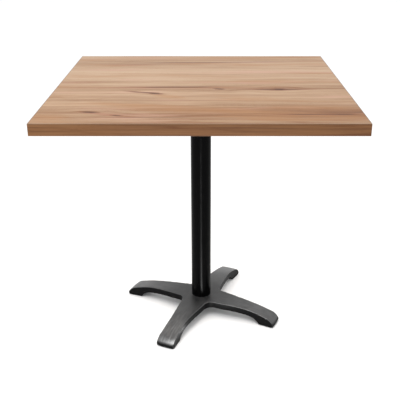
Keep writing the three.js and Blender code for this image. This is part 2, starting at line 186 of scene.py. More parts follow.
OAK_DEEP = (0.135, 0.054, 0.022)
OAK_DARK = (0.208, 0.096, 0.042)
OAK_MID = (0.283, 0.167, 0.092)
OAK_LIGHT = (0.362, 0.228, 0.136)
OAK_PALE = (0.430, 0.294, 0.190)
HEART_BROWN = (0.045, 0.014, 0.006)
KNOT_BROWN = (0.110, 0.030, 0.009)
SPLIT_BROWN = (0.160, 0.050, 0.017)
REDDISH = (0.255, 0.102, 0.052)
PINKISH = (0.430, 0.248, 0.174)
ORANGE = (0.305, 0.146, 0.058)
BAND_DARK = (0.060, 0.022, 0.008)
BAND_LIGHT = (0.185, 0.086, 0.038)
BAND_ARRIS = (0.205, 0.150, 0.112)
BAND_TINT = (0.470, 0.330, 0.205)

# The tone of each plank across the board, from the front edge, 0.1, to the back edge, 0.9.
PLANKS = (
    (0.10, 0.33),
    (0.16, 0.38),
    (0.19, 0.27),
    (0.26, 0.31),
    (0.31, 0.50),
    (0.40, 0.58),
    (0.45, 0.42),
    (0.50, 0.60),
    (0.70, 0.74),
    (0.785, 0.60),
    (0.81, 0.56),
    (0.90, 0.66),
)

# A mark in the print: its middle along and across the grain, how far it reaches and spreads, how
# much it climbs, its colour and how strongly it covers.
Mark = namedtuple("Mark", "along across reach spread climb colour cover")

STAINS = (
    Mark(-0.220, 0.252, 0.110, 0.018, 0.00, REDDISH, 0.50),
    Mark(0.210, 0.158, 0.190, 0.030, 0.02, PINKISH, 0.75),
    Mark(-0.345, 0.014, 0.090, 0.022, 0.00, REDDISH, 0.40),
    Mark(-0.240, -0.050, 0.170, 0.012, 0.02, REDDISH, 0.60),
    Mark(0.060, -0.052, 0.360, 0.020, -0.03, REDDISH, 0.42),
    Mark(-0.082, -0.146, 0.060, 0.026, -0.25, ORANGE, 0.70),
    Mark(0.000, -0.278, 0.280, 0.050, -0.12, ORANGE, 0.70),
    Mark(0.280, -0.258, 0.170, 0.036, 0.00, ORANGE, 0.65),
    Mark(-0.225, -0.318, 0.090, 0.018, -0.35, REDDISH, 0.60),
    Mark(-0.370, -0.350, 0.080, 0.050, 0.00, ORANGE, 0.55),
    Mark(0.350, -0.350, 0.110, 0.040, 0.00, ORANGE, 0.50),
    Mark(0.350, 0.310, 0.080, 0.024, 0.00, ORANGE, 0.45),
    Mark(0.000, 0.355, 0.450, 0.055, 0.00, ORANGE, 0.22),
)
SPLITS = (
    Mark(0.030, 0.296, 0.470, 0.0120, 0.045, SPLIT_BROWN, 0.60),
    Mark(-0.070, -0.040, 0.190, 0.0125, 0.00, SPLIT_BROWN, 0.90),
    Mark(0.215, -0.067, 0.130, 0.0120, 0.00, SPLIT_BROWN, 0.88),
    Mark(-0.155, -0.101, 0.070, 0.0110, -0.30, SPLIT_BROWN, 0.85),
    Mark(0.285, -0.318, 0.160, 0.0085, 0.00, SPLIT_BROWN, 0.95),
    Mark(0.346, -0.318, 0.055, 0.0090, 0.00, KNOT_BROWN, 0.85),
    Mark(-0.100, 0.268, 0.280, 0.0095, 0.03, SPLIT_BROWN, 0.34),
    Mark(-0.120, -0.345, 0.200, 0.0070, 0.02, SPLIT_BROWN, 0.48),
)
KNOTS = (
    Mark(0.216, -0.067, 0.028, 0.0170, 0.00, KNOT_BROWN, 0.95),
    Mark(0.051, -0.062, 0.022, 0.0130, -0.20, KNOT_BROWN, 0.85),
    Mark(-0.121, -0.112, 0.024, 0.0140, -0.25, KNOT_BROWN, 0.90),
    Mark(-0.269, -0.298, 0.032, 0.0125, -0.10, KNOT_BROWN, 0.92),
    Mark(-0.199, -0.328, 0.024, 0.0085, -0.20, KNOT_BROWN, 0.70),
)


def mark_cover(graph, along, across, mark):
    """How much of the mark lies at a place: 1 in its middle, easing to 0 at its rim."""
    away = graph.minus(along, mark.along)
    sideways = graph.minus(graph.minus(across, mark.across), graph.times(away, mark.climb))
    long_way = graph.math("POWER", graph.math("ABSOLUTE", graph.times(away, 1 / mark.reach)), 3.0)
    short_way = graph.times(sideways, 1 / mark.spread)
    squares = graph.plus(long_way, graph.times(short_way, short_way))
    return graph.span(graph.math("SQRT", squares), 1.0, 0.0)


def flow_round_knots(graph, along, across):
    """The across coordinate, slowed near each knot so that the grain parts and runs round it."""
    for knot in KNOTS:
        halo = knot._replace(reach=3.2 * knot.reach, spread=4.5 * knot.spread)
        slow = graph.times(mark_cover(graph, along, across, halo), 0.8)
        pull = graph.times(graph.minus(across, knot.across), slow)
        across = graph.minus(across, pull)
    return across


def oak_grain(graph, along, across, seed):
    """The print's tone, from dark to pale, its pores and its late-wood lines."""

    def streaks(along_scale, across_scale, layer, detail, roughness=0.55):
        place = graph.stretched(along, along_scale, across, across_scale, seed + layer)
        return graph.noise(place, 1.0, detail, roughness)

    wander = graph.times(graph.minus(streaks(1.6, 7.0, 0.0, 3.0), 0.5), 3.0)
    phase = graph.plus(graph.times(across, 48.0), graph.times(wander, 4.5))
    ring = graph.math("PINGPONG", phase, 1.0)
    late_wood = graph.span(ring, 0.62, 1.0)
    broad = streaks(0.9, 11.0, 3.0, 3.0)
    medium = streaks(2.6, 62.0, 5.0, 4.0, 0.62)
    fibres = streaks(11.0, 380.0, 7.0, 3.0, 0.6)
    pores = graph.span(streaks(55.0, 1150.0, 9.0, 1.5), 0.60, 0.72)
    pores = graph.times(pores, graph.span(streaks(3.0, 45.0, 11.0, 2.0), 0.42, 0.62))
    tone = graph.plus(graph.times(broad, 0.50), graph.times(medium, 0.42))
    tone = graph.plus(tone, graph.times(fibres, 0.22))
    tone = graph.minus(tone, graph.times(late_wood, 0.030))
    return graph.minus(tone, graph.times(pores, 0.13)), pores, late_wood


def oak_colour(graph, tone):
    """The print's colour at a tone."""
    return graph.ramp(
        tone,
        (0.28, OAK_DEEP),
        (0.42, OAK_DARK),
        (0.52, OAK_MID),
        (0.61, OAK_LIGHT),
        (0.74, OAK_PALE),
    )


def tinted_patches(graph, along, across, colour):
    """The colour with broad orange patches and pink ones over them."""
    patch = graph.noise(graph.stretched(along, 2.4, across, 17.0, 21.0), 1.0, 3.0)
    colour = graph.mix(graph.span(patch, 0.50, 0.70, 0.0, 0.60), colour, ORANGE)
    blush = graph.noise(graph.stretched(along, 3.1, across, 24.0, 33.0), 1.0, 3.0)
    return graph.mix(graph.span(blush, 0.54, 0.72, 0.0, 0.6), colour, PINKISH)


def marked_colour(graph, along, across, ragged, colour):
    """The colour with the stains, splits and knots laid on it, and where a split is open."""
    mottle = graph.span(ragged, -0.25, 0.15, 0.45, 1.0)
    for mark in STAINS:
        cover = graph.times(mark_cover(graph, along, across, mark), mark.cover)
        colour = graph.mix(graph.times(cover, mottle), colour, mark.colour)
    splits = 0.0
    for mark in (*SPLITS, *KNOTS):
        cover = mark_cover(graph, along, across, mark)
        colour = graph.mix(graph.times(cover, mark.cover), colour, mark.colour)
        heart = graph.times(graph.span(cover, 0.62, 0.92), mark.cover)
        colour = graph.mix(graph.times(heart, 0.8), colour, HEART_BROWN)
        splits = graph.math("MAXIMUM", splits, heart)
    for knot in KNOTS:
        cover = mark_cover(graph, along, across, knot)
        ring = graph.math("ABSOLUTE", graph.minus(cover, 0.30))
        colour = graph.mix(graph.span(ring, 0.13, 0.02, 0.0, 0.55), colour, SPLIT_BROWN)
    return colour, splits


def oak_top_material():
    """Oak-print laminate: planks with knots and splits, satin, with embossed pores."""
    graph = Graph("oak_laminate")
    along, across, _ = graph.axes(graph.place)
    sway = graph.noise(graph.stretched(along, 3.0, across, 9.0, 4.0), 1.0, 3.0)
    across = graph.plus(across, graph.times(graph.minus(sway, 0.5), 0.011))
    ragged = graph.noise(graph.stretched(along, 14.0, across, 150.0, 8.0), 1.0, 3.0)
    ragged = graph.minus(ragged, 0.5)
    torn_across = graph.plus(across, graph.times(ragged, 0.004))
    torn_along = graph.plus(along, graph.times(ragged, 0.03))

    bent = flow_round_knots(graph, along, across)
    tone, pores, late_wood = oak_grain(graph, along, bent, 1.0)
    plank_stops = [(position, (tone_there,) * 3) for position, tone_there in PLANKS]
    planks = graph.ramp(graph.plus(across, 0.5), *plank_stops)
    tone = graph.plus(tone, graph.times(graph.minus(planks, 0.5), 0.5))
    colour = tinted_patches(graph, along, across, oak_colour(graph, tone))
    colour, splits = marked_colour(graph, torn_along, torn_across, ragged, colour)

    roughness = graph.plus(graph.times(tone, -0.10), 0.50)
    roughness = graph.plus(roughness, graph.times(pores, 0.16))
    graph.relief(
        (graph.math("MAXIMUM", pores, splits), -0.35, 0.12 * MM),
        (late_wood, -0.12, 0.08 * MM),
        (graph.noise(graph.place, 2600.0, 2.0), 0.10, 0.05 * MM),
    )
    return graph.finish(colour, roughness, IOR=1.2, Specular_IOR_Level=0.4)


def oak_edge_material(name, grain_axis, seed):
    """Oak-print edge band: the same grain, darker and in narrow streaks along the band.

    A dark line runs just under the top face, and the arris above it is pale.
    """
    graph = Graph(name)
    x, y, z = graph.axes(graph.place)
    along, depth = (x, y) if grain_axis == "x" else (y, x)
    across = graph.plus(z, graph.times(depth, 0.6))
    tone, pores, _ = oak_grain(graph, along, across, seed)
    colour = graph.mix(1.0, oak_colour(graph, tone), BAND_TINT, "MULTIPLY")
    band = graph.noise(graph.stretched(along, 4.0, z, 190.0, seed), 1.0, 3.0)
    colour = graph.mix(graph.span(band, 0.50, 0.72, 0.0, 0.45), colour, BAND_DARK)
    colour = graph.mix(graph.span(band, 0.46, 0.30, 0.0, 0.35), colour, BAND_LIGHT)
    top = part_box("top_laminate")[1].z
    from_line = graph.math("ABSOLUTE", graph.minus(z, top - 2.6 * MM))
    colour = graph.mix(graph.span(from_line, 1.8 * MM, 0.4 * MM, 0.0, 0.4), colour, BAND_DARK)
    arris = graph.span(z, top - 1.1 * MM, top - 0.3 * MM, 0.0, 0.75)
    colour = graph.mix(arris, colour, BAND_ARRIS)
    roughness = graph.plus(graph.times(pores, 0.15), 0.46)
    graph.relief((pores, -0.3, 0.10 * MM), (graph.noise(graph.place, 2600.0, 2.0), 0.12, 0.05 * MM))
    return graph.finish(colour, roughness, Specular_IOR_Level=0.2)


# ---- Board and backing -----------------------------------------------------------------------


def chipboard_material():
    """Raw chipboard: flat chips of many tones, resin-dark gaps and a rough cut face."""
    graph = Graph("chipboard")
    x, y, z = graph.axes(graph.place)
    place = graph.join(x, graph.times(y, 1.6), graph.times(z, 3.0))
    chips = graph.cells(place, 240.0, output="Color")
    tint = graph.axes(chips)[0]
    grit = graph.noise(graph.place, 900.0, 4.0, 0.65)
    tone = graph.plus(graph.times(tint, 0.65), graph.times(grit, 0.35))
    colour = graph.ramp(
        tone,
        (0.15, (0.165, 0.088, 0.040)),
        (0.45, (0.370, 0.225, 0.115)),
        (0.70, (0.500, 0.330, 0.180)),
        (0.90, (0.610, 0.440, 0.270)),
    )
    gap = graph.cells(place, 240.0, "DISTANCE_TO_EDGE")
    colour = graph.mix(graph.span(gap, 0.09, 0.0, 0.0, 0.6), colour, (0.12, 0.06, 0.03))
    graph.relief((gap, 0.6, 0.6 * MM), (grit, 0.5, 0.3 * MM))
    return graph.finish(colour, graph.span(grit, 0.3, 0.7, 0.78, 0.95), Specular_IOR_Level=0.3)


def backing_material():
    """Backing sheet: kraft-brown melamine with short paper fibres and a few scuffs."""
    graph = Graph("backing_sheet")
    fibres = graph.noise(graph.place, 420.0, 5.0, 0.7, 1.4)
    cloud = graph.noise(graph.place, 9.0, 4.0, 0.6)
    colour = graph.ramp(
        graph.plus(graph.times(fibres, 0.55), graph.times(cloud, 0.45)),
        (0.36, (0.300, 0.225, 0.155)),
        (0.50, (0.385, 0.300, 0.215)),
        (0.64, (0.450, 0.362, 0.270)),
    )
    x, y, _ = graph.axes(graph.place)
    scuff_place = graph.stretched(x, 26.0, y, 5.0, 2.0)
    scuffs = graph.span(graph.noise(scuff_place, 1.0, 6.0, 0.7, 2.0), 0.64, 0.74)
    colour = graph.mix(graph.times(scuffs, 0.35), colour, (0.56, 0.49, 0.40))
    roughness = graph.plus(graph.times(cloud, 0.16), graph.plus(graph.times(scuffs, 0.08), 0.50))
    graph.relief((fibres, 0.25, 0.08 * MM), (graph.noise(graph.place, 1500.0, 3.0), 0.3, 0.05 * MM))
    return graph.finish(colour, roughness, Specular_IOR_Level=0.4)


# ---- Metal and plastic -----------------------------------------------------------------------


# The base's downward faces are painted this lighter grey: dust and a painted fill light that lets
# the underside show.
UNDERSIDE_DUST_AND_PAINTED_FILL = (0.034, 0.033, 0.031)

# A powder coat: its colour, that of its worn places and its thin edges, the size of its grit and
# its orange peel in metres and their depths, its lowest and highest roughness, and its specular.
# The edge colour is edge wear and a painted highlight along the arris; on the base's tops the worn
# colour is also a painted sheen.
Coat = namedtuple(
    "Coat", "colour worn edge grit peel grit_depth peel_depth smoothest roughest specular"
)
CAST_SIDES = Coat(
    colour=(0.0015, 0.0015, 0.0016),
    worn=(0.0055, 0.0055, 0.0058),
    # Edge wear and a painted highlight along the arris.
    edge=(0.12, 0.12, 0.12),
    grit=0.8 * MM,
    peel=2.6 * MM,
    grit_depth=0.07 * MM,
    peel_depth=0.07 * MM,
    smoothest=0.36,
    roughest=0.50,
    specular=0.05,
)
# The base's upward faces: the same coat, glossier, with a lighter worn colour that is wear and a
# painted sheen, and a brighter edge colour that is a painted highlight.
CAST_TOPS_PAINTED_SHEEN = CAST_SIDES._replace(
    colour=(0.0040, 0.0040, 0.0043),
    worn=(0.0560, 0.0560, 0.0565),
    edge=(0.30, 0.30, 0.30),
    smoothest=0.32,
    roughest=0.42,
    specular=0.58,
)
COLUMN = Coat(
    colour=(0.0005, 0.0005, 0.0006),
    worn=(0.0014, 0.0014, 0.0015),
    edge=(0.0014, 0.0014, 0.0015),
    grit=0.5 * MM,
    peel=2.0 * MM,
    grit_depth=0.02 * MM,
    peel_depth=0.03 * MM,
    smoothest=0.20,
    roughest=0.28,
    specular=0.03,
)


def coat_layers(graph, coat, strokes, grit):
    """A powder coat's colour and roughness: faint dust, rubbed patches, strokes and thin edges."""
    cloud = graph.noise(graph.place, 16.0, 4.0, 0.6)
    rubbed = graph.span(graph.noise(graph.place, 38.0, 5.0, 0.7), 0.50, 0.72)
    shade = graph.mix(graph.span(cloud, 0.30, 0.70, 0.0, 0.45), coat.colour, coat.worn)
    shade = graph.mix(graph.times(rubbed, 0.35), shade, coat.worn)
    shade = graph.mix(graph.span(strokes, 0.46, 0.62, 0.0, 0.8), shade, coat.worn)
    # Convex edges, found by pointiness, are lightened: edge wear and a painted highlight along the
    # arris.
    ridge = graph.add("ShaderNodeNewGeometry").outputs["Pointiness"]
    edge_wear_and_highlight = graph.times(graph.span(ridge, 0.515, 0.575), graph.span(grit, 0.35, 0.65, 0.3, 1.0))
    shade = graph.mix(edge_wear_and_highlight, shade, coat.edge)
    roughness = graph.plus(graph.times(cloud, coat.roughest - coat.smoothest), coat.smoothest)
    roughness = graph.plus(roughness, graph.times(graph.minus(strokes, 0.5), 0.6))
    return shade, graph.minus(roughness, graph.times(rubbed, 0.05))


def coat_relief(graph, coat, strokes, grit):
    """Orange peel, fine grit and strokes."""
    peel = graph.noise(graph.place, 1 / coat.peel, 2.0, 0.5)
    graph.relief(
        (peel, 0.6, coat.peel_depth),
        (grit, 0.5, coat.grit_depth),
        (strokes, 0.5, coat.grit_depth),
    )


def coat_material(name, coat):
    """Black powder coat, the same on every side."""
    graph = Graph(name)
    grit = graph.noise(graph.place, 1 / coat.grit, 3.0, 0.6)
    shade, roughness = coat_layers(graph, coat, grit, grit)
    coat_relief(graph, coat, grit, grit)
    return graph.finish(shade, roughness, Specular_IOR_Level=coat.specular)


def brushed_coat_material(name, turn):
    """Black powder coat of the base, with a painted sheen on its brushed, glossier upward faces.

    The base is turned by turn, its strokes run along its arms and its feet are rubbed most. The
    painted sheen is full towards the feet and dimmer at the hub, a painted shade near the column.
    Its downward faces are painted lighter, as dust and as a painted fill light.
    """
    sides, sheen_tops = CAST_SIDES, CAST_TOPS_PAINTED_SHEEN
    graph = Graph(name)
    grit = graph.noise(graph.place, 1 / sides.grit, 3.0, 0.6)
    upward = graph.axes(graph.add("ShaderNodeNewGeometry").outputs["Normal"])[2]
    x, y, _ = graph.axes(graph.place)
    reach = graph.math("SQRT", graph.plus(graph.times(x, x), graph.times(y, y)))
    # Upward faces, dimmer near the hub: they take the strokes, the extra gloss and a painted sheen,
    # and the dimming at the hub is painted shade near the column.
    tops_wear_and_painted_sheen = graph.times(graph.span(upward, 0.50, 0.68), graph.span(reach, 0.04, 0.21, 0.50, 1.0))
    strokes = graph.plus(
        graph.times(arm_strokes(graph, turn), tops_wear_and_painted_sheen), graph.times(grit, graph.minus(1.0, tops_wear_and_painted_sheen))
    )
    side_shade, side_roughness = coat_layers(graph, sides, strokes, grit)
    top_shade_painted_sheen, back_roughness = coat_layers(graph, sheen_tops, strokes, grit)
    # The upward faces take the lighter copy of the coat: a painted sheen over the brushing and
    # wear.
    shade = graph.mix(tops_wear_and_painted_sheen, side_shade, top_shade_painted_sheen)
    # Downward faces painted lighter: dust and a painted fill light.
    shade = graph.mix(graph.times(graph.span(upward, -0.2, -0.8), grit), shade, UNDERSIDE_DUST_AND_PAINTED_FILL)
    gain = graph.times(graph.minus(back_roughness, side_roughness), tops_wear_and_painted_sheen)
    specular = graph.plus(graph.times(tops_wear_and_painted_sheen, sheen_tops.specular - sides.specular), sides.specular)
    graph.feed(graph.shader.inputs["Specular IOR Level"], specular)
    coat_relief(graph, sides, strokes, grit)
    return graph.finish(shade, graph.plus(side_roughness, gain))


def arm_strokes(graph, turn):
    """Fine strokes along whichever pair of arms a place lies on."""
    rotate = {"Vector": graph.place, "Angle": -turn}
    own_place = graph.feed_new("ShaderNodeVectorRotate", rotate, rotation_type="Z_AXIS").outputs[0]
    x, y, _ = graph.axes(own_place)
    along_x = graph.noise(graph.stretched(x, 18.0, y, 200.0, 0.0), 1.0, 5.0, 0.75)
    along_y = graph.noise(graph.stretched(x, 200.0, y, 18.0, 9.0), 1.0, 5.0, 0.75)
    lead = graph.minus(graph.math("ABSOLUTE", x), graph.math("ABSOLUTE", y))
    on_x = graph.span(lead, -6 * MM, 6 * MM)
    return graph.plus(graph.times(along_x, on_x), graph.times(along_y, graph.minus(1.0, on_x)))


def zinc_material():
    """Bright zinc plate: a spangle of soft patches, drawn scratches and dull spots."""
    graph = Graph("zinc_steel")
    x, y, z = graph.axes(graph.place)
    spangle = graph.axes(graph.cells(graph.place, 900.0, output="Color"))[0]
    drawn_place = graph.stretched(x, 2400.0, y, 2400.0, graph.times(z, 90.0))
    drawn = graph.noise(drawn_place, 1.0, 3.0)
    dull = graph.span(graph.noise(graph.place, 240.0, 5.0, 0.7), 0.52, 0.74)
    tone = graph.plus(graph.times(spangle, 0.12), graph.times(drawn, 0.88))
    colour = graph.ramp(
        tone,
        (0.20, (0.400, 0.408, 0.420)),
        (0.55, (0.560, 0.566, 0.575)),
        (0.85, (0.690, 0.692, 0.690)),
    )
    colour = graph.mix(graph.times(dull, 0.5), colour, (0.34, 0.335, 0.315))
    roughness = graph.plus(graph.times(tone, 0.14), graph.plus(graph.times(dull, 0.22), 0.22))
    graph.relief((drawn, 0.25, 0.05 * MM), (dull, -0.2, 0.04 * MM))
    return graph.finish(colour, roughness, Metallic=1.0)


def nylon_material():
    """Moulded black nylon: a fine spark-eroded grain, slightly dusty."""
    graph = Graph("black_nylon")
    grain = graph.cells(graph.place, 1900.0)
    dust = graph.span(graph.noise(graph.place, 130.0, 5.0, 0.65), 0.45, 0.75)
    colour = graph.mix(graph.times(dust, 0.6), (0.0075, 0.0075, 0.008), (0.030, 0.029, 0.027))
    roughness = graph.plus(graph.times(dust, 0.18), 0.50)
    graph.relief((grain, 0.35, 0.12 * MM))
    return graph.finish(colour, roughness, Specular_IOR_Level=0.4)


# ---- Finer pieces ----------------------------------------------------------------------------


def new_object(name, data):
    thing = bpy.data.objects.new(name, data)
    bpy.context.scene.collection.objects.link(thing)
    return thing


def modified_mesh(thing):
    """The mesh that an object's modifiers make."""
    graph = bpy.context.evaluated_depsgraph_get()
    return bpy.data.meshes.new_from_object(thing.evaluated_get(graph))


def new_piece(name, mesh, body, slot, material, *stands_for):
    """A piece from a finished mesh, riding on a body in place of CAD nodes."""
    piece = new_object(name, mesh)
    mesh.materials.clear()
    mesh.materials.append(material)
    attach(piece, body)
    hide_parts(*stands_for)
    return piece


def voxel_skin(mesh, voxel):
    """A fine even skin over a mesh."""
    source = new_object("skin_source", mesh)
    remesh = source.modifiers.new("skin", "REMESH")
    remesh.mode = "VOXEL"
    remesh.voxel_size = voxel
    remesh.use_smooth_shade = True
    skin_mesh = modified_mesh(source)
    bpy.data.objects.remove(source)
    return skin_mesh


def softened_casting(name, node, turn, voxel, rounds, bores):
    """The CAD casting as a fine even skin whose edges are rounded as a foundry leaves them.

    The skin is laid in the casting's own turned frame, so that it runs along the arms. Its points
    near a sharp edge are drawn onto it, and rounds of smoothing then ease them all but in the
    bores. A bore is (x, y, radius, height).
    """
    own_frame = Matrix.Rotation(turn, 4, "Z")
    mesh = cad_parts[node].data.copy()
    mesh.transform(own_frame.inverted())
    edges = sharp_edges(mesh, voxel / 4)
    mesh = voxel_skin(mesh, voxel)

    skin = bmesh.new()
    skin.from_mesh(mesh)
    for vert in skin.verts:
        nearest, _, away = edges.find(vert.co)
        if away < 0.9 * voxel:
            vert.co = nearest
    skin.transform(own_frame)
    free = [v for v in skin.verts if not in_bore(v.co, bores)]
    for _ in range(rounds):
        bmesh.ops.smooth_vert(
            skin, verts=free, factor=0.5, use_axis_x=True, use_axis_y=True, use_axis_z=True
        )
    skin.to_mesh(mesh)
    skin.free()
    mesh.name = name
    return mesh


def sharp_edges(mesh, spacing):
    """Points along the mesh's sharp edges, in a tree that finds the nearest one.

    Points of the mesh that lie in one place are joined first, so that faces meet at their edges.
    """
    plan = bmesh.new()
    plan.from_mesh(mesh)
    bmesh.ops.remove_doubles(plan, verts=plan.verts, dist=0.001 * MM)
    points = []
    for edge in plan.edges:
        if edge.calc_face_angle(0.0) > SHARP:
            start, end = (v.co for v in edge.verts)
            steps = math.ceil(edge.calc_length() / spacing)
            points += [start.lerp(end, i / steps) for i in range(steps + 1)]
    plan.free()
    tree = KDTree(len(points))
    for i, point in enumerate(points):
        tree.insert(point, i)
    tree.balance()
    return tree


def in_bore(point, bores):
    """Whether a point lies in one of the bores, which all open at the bottom."""
    return any(
        point.z < height and (point.x - x) ** 2 + (point.y - y) ** 2 < radius**2
        for x, y, radius, height in bores
    )


def middle(node):
    """The middle of a node's box."""
    low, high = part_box(node)
    return (low + high) / 2


def turned_ring(skin, centre, radius, z, count):
    """The points of one level of a lathed piece: one on the axis where the radius is 0."""
    if radius == 0:
        return [skin.verts.new((centre.x, centre.y, z))]
    ring = []
    for i in range(count):
        angle = i * FULL_TURN / count
        reach = radius(angle) if callable(radius) else radius
        place = (centre.x + reach * math.cos(angle), centre.y + reach * math.sin(angle), z)
        ring.append(skin.verts.new(place))
    return ring


def bridge(skin, lower, upper, count):
    """The faces between two levels."""
    for i in range(count):
        j = (i + 1) % count
        if len(lower) == 1:
            skin.faces.new((lower[0], upper[j], upper[i]))
        elif len(upper) == 1:
            skin.faces.new((lower[i], lower[j], upper[0]))
        else:
            skin.faces.new((lower[i], lower[j], upper[j], upper[i]))


def lathed(name, centre, profile, count, closed=False):
    """A profile of (radius, z) points turned about the vertical through centre.

    A radius is a length or a function of the angle. A radius of 0 ends the profile in a point, and
    a closed profile joins its last point to its first.
    """
    skin = bmesh.new()
    rings = [turned_ring(skin, centre, radius, z, count) for radius, z in profile]
    pairs = list(zip(rings, rings[1:]))
    if closed:
        pairs.append((rings[-1], rings[0]))
    for lower, upper in pairs:
        bridge(skin, lower, upper, count)
    bmesh.ops.recalc_face_normals(skin, faces=skin.faces)
    for edge in skin.edges:
        edge.smooth = edge.calc_face_angle(0.0) < SHARP
    for face in skin.faces:
        face.smooth = True
    mesh = bpy.data.meshes.new(name)
    skin.to_mesh(mesh)
    skin.free()
    return mesh


def hexagon(across_flats):
    """The radius of a hexagon at an angle, with a corner at angle 0."""
    sixth = FULL_TURN / 6
    return lambda angle: across_flats / 2 / math.cos(angle % sixth - sixth / 2)


def thread(radius, low, high, pitch):
    """Profile points of a right-handed thread, which fades out at both ends.

    Over one pitch the groove falls from its flat crest to its flat root and rises again.
    """
    rows_a_turn, depth, slope, crest = 8, 0.55 * pitch, 2.4, 0.1
    count = math.ceil((high - low) / pitch * rows_a_turn)
    points = []
    for row in range(count + 1):
        z = low + (high - low) * row / count
        fade = min(1.0, (z - low) / pitch, (high - z) / pitch)

        def reach(angle, z=z, fade=fade):
            phase = (z / pitch - angle / FULL_TURN) % 1.0
            groove = min(1.0, max(0.0, slope * abs(phase - 0.5) - crest))
            return radius - depth * fade * groove

        points.append((reach, z))
    return points


def base_piece(material, turn):
    """The base, with its glide recesses and stud bores left sharp."""
    stud_bore, stud_bore_top = 9.5 * MM, 27 * MM
    recess, recess_top = 20.5 * MM, 9.5 * MM
    bores = []
    for arm in ARMS:
        centre = middle(f"glide_stud_{arm}")
        bores.append((centre.x, centre.y, stud_bore, stud_bore_top))
        bores.append((centre.x, centre.y, recess, recess_top))
    mesh = softened_casting(
        "base_skin", "base_casting", turn, voxel=1.5 * MM, rounds=9, bores=bores
    )
    return new_piece("base_skin", mesh, "frame", "cast_coat", material, "base_casting")


def spider_piece(material):
    """The spider plate, with its socket, nut pocket and countersinks left sharp."""
    socket, countersink = 34 * MM, 7 * MM
    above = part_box("spider_plate")[1].z + MM
    bores = [(0.0, 0.0, socket, above)]
    for name in TOP_SCREWS:
        centre = middle(name)
        bores.append((centre.x, centre.y, countersink, above))
    mesh = softened_casting(
        "spider_skin", "spider_plate", math.pi / 4, voxel=1.1 * MM, rounds=5, bores=bores
    )
    return new_piece("spider_skin", mesh, "frame", "cast_coat", material, "spider_plate")


def column_piece(material):
    """The column, with eased ends."""
    low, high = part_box("column_tube")
    wall, ease = 2 * MM, 0.5 * MM
    outer = (high.x - low.x) / 2
    inner = outer - wall
    profile = [
        (inner, low.z),
        (outer - ease, low.z),
        (outer, low.z + ease),
        (outer, high.z - ease),
        (outer - ease, high.z),
        (inner, high.z),
    ]
    mesh = lathed("column_sleeve", ON_AXIS, profile, 192, closed=True)
    return new_piece("column_sleeve", mesh, "frame", "column_coat", material, "column_tube")


def rod_piece(material):
    """The tie rod, threaded at both ends."""
    low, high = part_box("tie_rod")
    radius = (high.x - low.x) / 2
    point, length, pitch = 1 * MM, 32 * MM, 1.5 * MM
    profile = [
        (0, low.z),
        (radius - point, low.z),
        *thread(radius, low.z + point, low.z + length, pitch),
        *thread(radius, high.z - length, high.z - point, pitch),
        (radius - point, high.z),
        (0, high.z),
    ]
    mesh = lathed("threaded_rod", ON_AXIS, profile, 40)
    return new_piece("threaded_rod", mesh, "frame", "zinc_steel", material, "tie_rod")


def washer_piece(node, material):
    """A stamped washer: one rim rounded over, the other left keen."""
    low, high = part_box(node)
    outer, bore, ease = (high.x - low.x) / 2, 5.6 * MM, 0.5 * MM
    profile = [
        (bore + ease / 2, low.z),
        (outer - ease, low.z),
        (outer - 0.3 * ease, low.z + 0.3 * ease),
        (outer, low.z + ease),
        (outer, high.z - ease / 4),
        (outer - ease / 4, high.z),
        (bore, high.z),
        (bore, low.z + ease / 2),
    ]
    mesh = lathed(f"{node}_disc", ON_AXIS, profile, 72, closed=True)
    return new_piece(f"{node}_disc", mesh, "frame", "zinc_steel", material, node)


def nut_piece(node, material):
    """A hexagon nut with its corners turned off and a countersunk thread."""
    low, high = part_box(node)
    across_flats = high.y - low.y
    flats, bore, sink = hexagon(across_flats), 5.15 * MM, 0.6 * MM
    corner = across_flats / math.sqrt(3)

    def rounded(z):
        share = min(z - low.z, high.z - z) / (corner - across_flats / 2)
        cone = across_flats / 2 + (corner - across_flats / 2) * min(1.0, 2.0 * share)
        return lambda angle: min(flats(angle), cone)

    steps = [low.z, low.z + 0.3 * MM, low.z + 0.7 * MM, low.z + 1.3 * MM]
    steps += [high.z + low.z - z for z in reversed(steps)]
    profile = [(bore + sink, low.z)]
    profile += [(rounded(z), z) for z in steps]
    profile += [(bore + sink, high.z), (bore, high.z - sink), (bore, low.z + sink)]
    mesh = lathed(f"{node}_hex", ON_AXIS, profile, 72, closed=True)
    return new_piece(f"{node}_hex", mesh, "frame", "zinc_steel", material, node)


def stud_piece(arm, material):
    """A glide's stud: a round head with a hexagon socket under it and an M8 thread above."""
    node = f"glide_stud_{arm}"
    low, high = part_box(node)
    centre = (low + high) / 2
    head, shank, point, ease = (high.x - low.x) / 2, 4 * MM, 1 * MM, 0.5 * MM
    head_top = low.z + 4 * MM
    socket, socket_top = hexagon(5 * MM), low.z + 2.5 * MM
    profile = [
        (0, socket_top + 0.6 * MM),
        (socket, socket_top),
        (socket, low.z),
        (head - ease, low.z),
        (head, low.z + ease),
        (head, head_top - ease / 2),
        (head - ease / 2, head_top),
        (shank - 0.3 * MM, head_top),
        *thread(shank, head_top + 0.5 * MM, high.z - point, 1.25 * MM),
        (shank - point, high.z),
        (0, high.z),
    ]
    mesh = lathed(f"glide_bolt_{arm}", centre, profile, 48)
    return new_piece(f"glide_bolt_{arm}", mesh, f"stud_{arm}", "zinc_steel", material, node)


